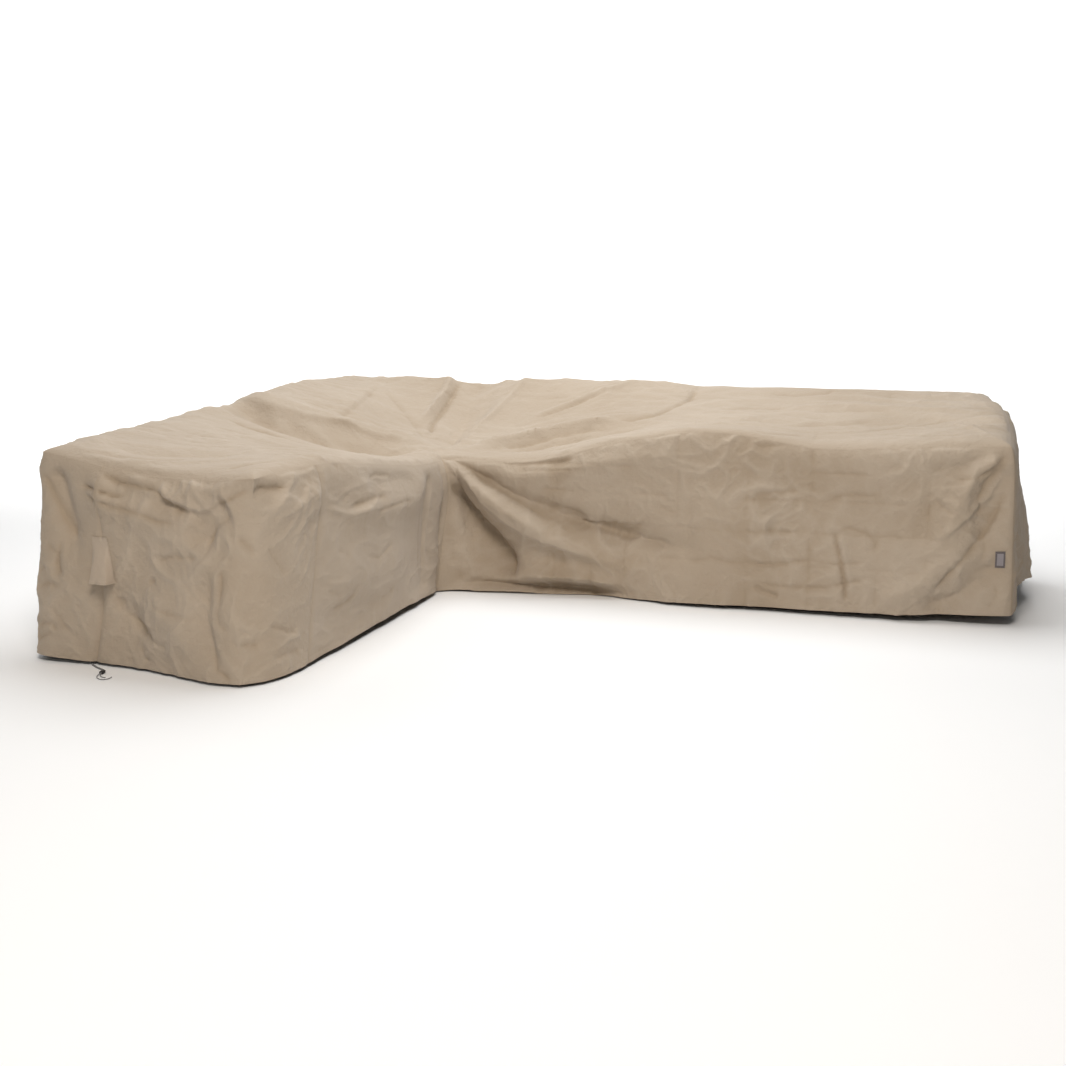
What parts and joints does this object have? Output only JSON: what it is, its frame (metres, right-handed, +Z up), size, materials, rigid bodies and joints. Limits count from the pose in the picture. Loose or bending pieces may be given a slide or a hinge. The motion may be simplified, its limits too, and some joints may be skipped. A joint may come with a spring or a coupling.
{
  "type": "outdoor sofa cover",
  "caption": "Fitted L-shaped rain cover for outdoor lounge seating, in its draped shape, with a vent hood and a drawstring hem.",
  "frame": {"origin": "under the top panel in the elbow of the L, 2 mm below the cloth, where the top is carried", "axes": "+Z up; +X along the long wing towards its free end; +Y towards the back, so the short wing runs along -Y"},
  "size_m": [3.2316, 2.4718, 0.8109],
  "materials": {
    "cloth": "coated plain weave, matte",
    "hood_cloth": "coated plain weave, matte",
    "tag": "fine woven tape, matte",
    "cord": "braided cord, matte",
    "lock": "moulded, satin"
  },
  "bodies": {
    "root": {"top": "cloth", "wall_inner": "cloth", "wall_short_end": "cloth", "wall_outer": "cloth", "wall_back": "cloth", "wall_long_end": "cloth", "wall_front": "cloth", "vent_hood": "hood_cloth", "woven_tag": "tag", "drawstring_left": "cord", "drawstring_right": "cord", "cord_lock": "lock"}
  },
  "joints": []
}
